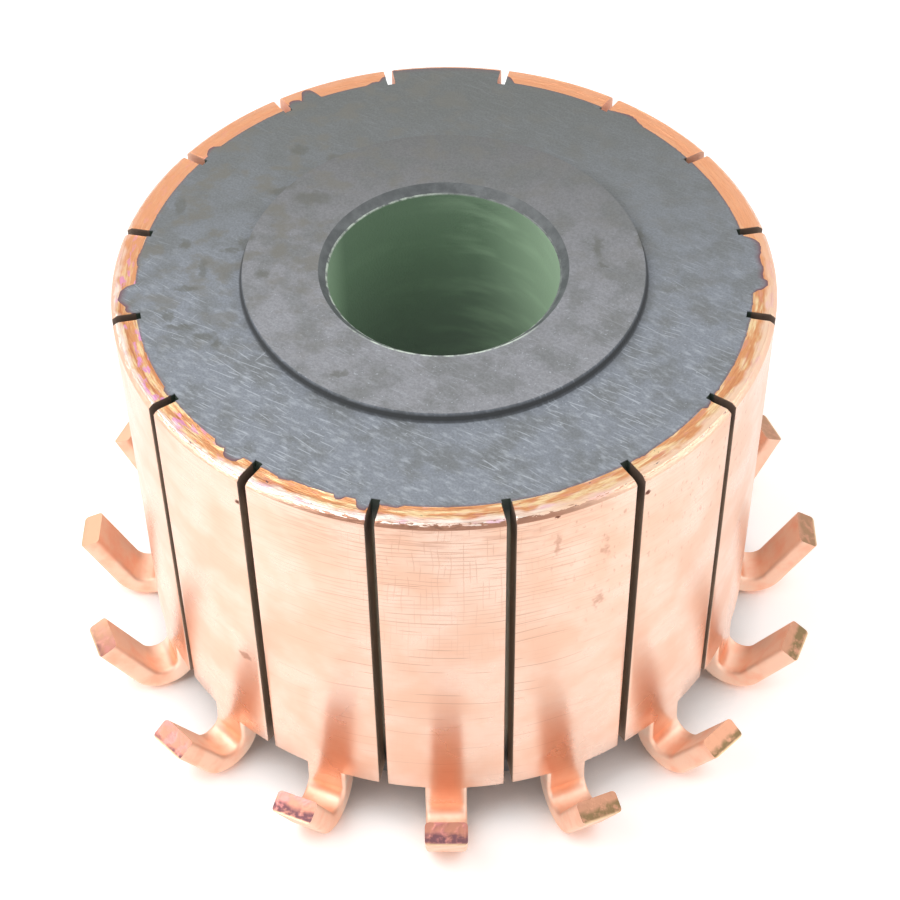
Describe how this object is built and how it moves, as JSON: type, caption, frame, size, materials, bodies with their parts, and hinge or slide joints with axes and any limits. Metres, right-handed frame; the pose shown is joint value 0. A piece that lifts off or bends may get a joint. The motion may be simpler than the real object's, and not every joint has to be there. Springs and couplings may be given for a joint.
{
  "type": "commutator",
  "caption": "Hook commutator: copper bars with bent winding hooks round a moulded insulating core with a central shaft bore.",
  "frame": {"origin": "on the bore axis, at the collar face under the bars, which the commutator stands on", "axes": "+Z along the bore towards the raised ring; the first bar and its hook face -Y"},
  "size_m": [0.0286, 0.0286, 0.0171],
  "materials": {
    "copper": "satin",
    "phenolic": "matte"
  },
  "bodies": {
    "root": {"copper_bar_01": "copper", "copper_bar_02": "copper", "copper_bar_03": "copper", "copper_bar_04": "copper", "copper_bar_05": "copper", "copper_bar_06": "copper", "copper_bar_07": "copper", "copper_bar_08": "copper", "copper_bar_09": "copper", "copper_bar_10": "copper", "copper_bar_11": "copper", "copper_bar_12": "copper", "copper_bar_13": "copper", "copper_bar_14": "copper", "copper_bar_15": "copper", "copper_bar_16": "copper", "moulded_core": "phenolic"}
  },
  "joints": []
}
